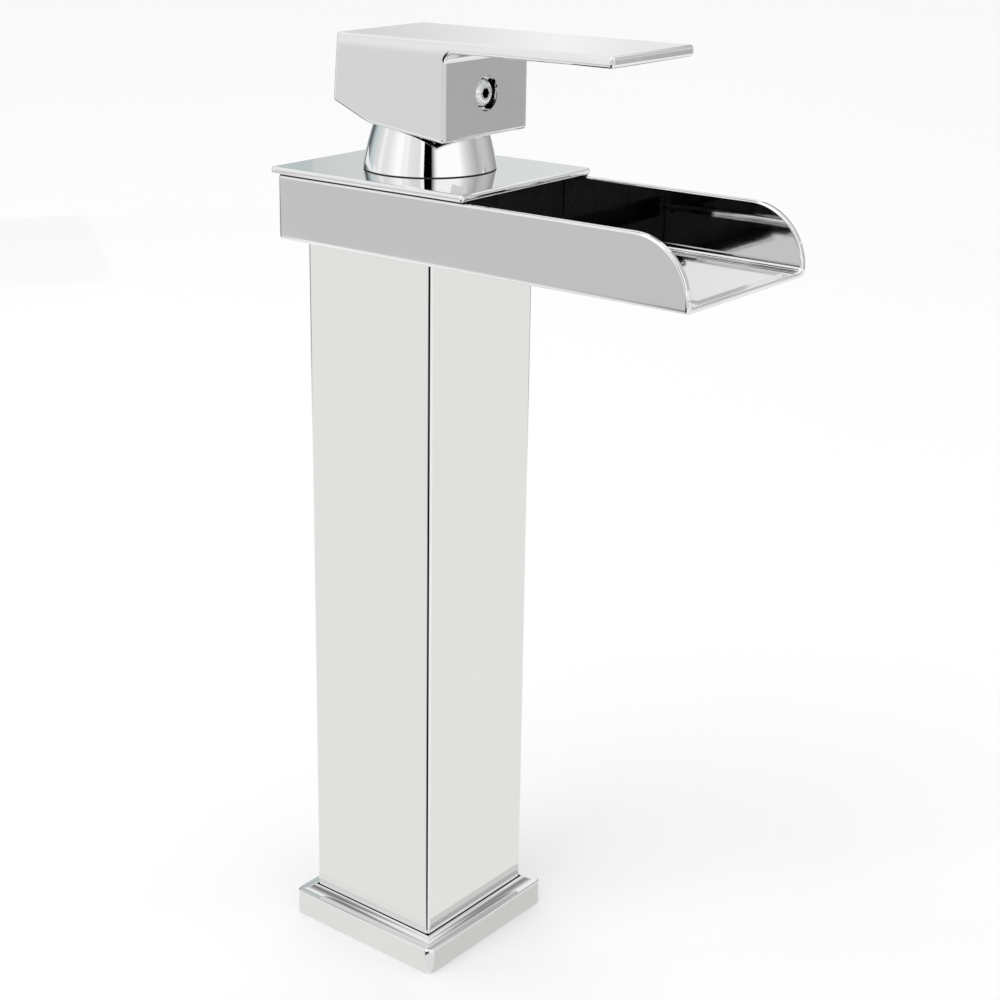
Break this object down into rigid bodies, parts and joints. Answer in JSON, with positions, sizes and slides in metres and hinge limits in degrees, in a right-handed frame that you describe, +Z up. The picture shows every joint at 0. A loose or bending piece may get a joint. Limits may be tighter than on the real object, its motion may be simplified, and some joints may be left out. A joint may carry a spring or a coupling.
{
  "type": "basin mixer faucet",
  "caption": "Tall square basin mixer with an open waterfall spout and a single flat lever that lifts for flow and turns for temperature.",
  "frame": {"origin": "centre of the mixer's underside, in the plane it stands on", "axes": "+Z up along the column, +X towards the spout's lip, +Y to the left when looking along +X"},
  "size_m": [0.1519, 0.0626, 0.3015],
  "materials": {
    "polished_chrome": "bright polished chrome plating on brass",
    "screw_steel": "turned stainless steel",
    "black_rubber": "matt moulded rubber",
    "raw_brass": "machined brass",
    "copper_tube": "drawn copper",
    "black_plastic": "matt moulded black plastic",
    "cartridge_plastic": "moulded natural nylon",
    "carrier_plastic": "moulded acetal",
    "slip_plastic": "smooth low-friction plastic",
    "valve_ceramic": "lapped white ceramic"
  },
  "bodies": {
    "mixer_body": {"base_plate": "polished_chrome", "base_gasket": "black_rubber", "inlet_block": "raw_brass", "column": "polished_chrome", "riser_tube_hot": "copper_tube", "riser_tube_cold": "copper_tube", "riser_seals": "black_rubber", "valve_body": "raw_brass", "spout_gasket": "black_rubber", "spout_trough": "polished_chrome", "spout_screws": "screw_steel", "flow_baffle": "black_plastic", "cover_gasket": "black_rubber", "cover_plate": "polished_chrome", "cartridge_base": "cartridge_plastic", "port_seals": "black_rubber", "cartridge_housing": "cartridge_plastic", "fixed_disc": "valve_ceramic", "slip_ring": "slip_plastic", "retaining_nut": "raw_brass", "cap_ring": "black_rubber", "trim_cap": "polished_chrome"},
    "spindle": {"spindle_carrier": "carrier_plastic", "pivot_pin": "screw_steel"},
    "disc": {"moving_disc": "valve_ceramic", "disc_carrier": "carrier_plastic"},
    "lever": {"lever_stem": "raw_brass", "handle": "polished_chrome", "handle_set_screw": "screw_steel"}
  },
  "joints": [
    {"name": "temperature", "type": "hinge", "parent": "mixer_body", "child": "spindle", "pos_m": [0.0035, 0, 0.263], "axis": [0, 0, 1], "range_deg": [-45, 45]},
    {"name": "lift", "type": "hinge", "parent": "spindle", "child": "lever", "pos_m": [0.0035, 0, 0.263], "axis": [0, -1, 0], "range_deg": [0, 25]},
    {"name": "disc_slide", "type": "slide", "parent": "spindle", "child": "disc", "axis": [1, 0, 0], "range_m": [0, 0.0046]}
  ],
  "couplings": [
    {"joint": "disc_slide", "follows": "lift", "m_per_rad": 0.01037}
  ]
}
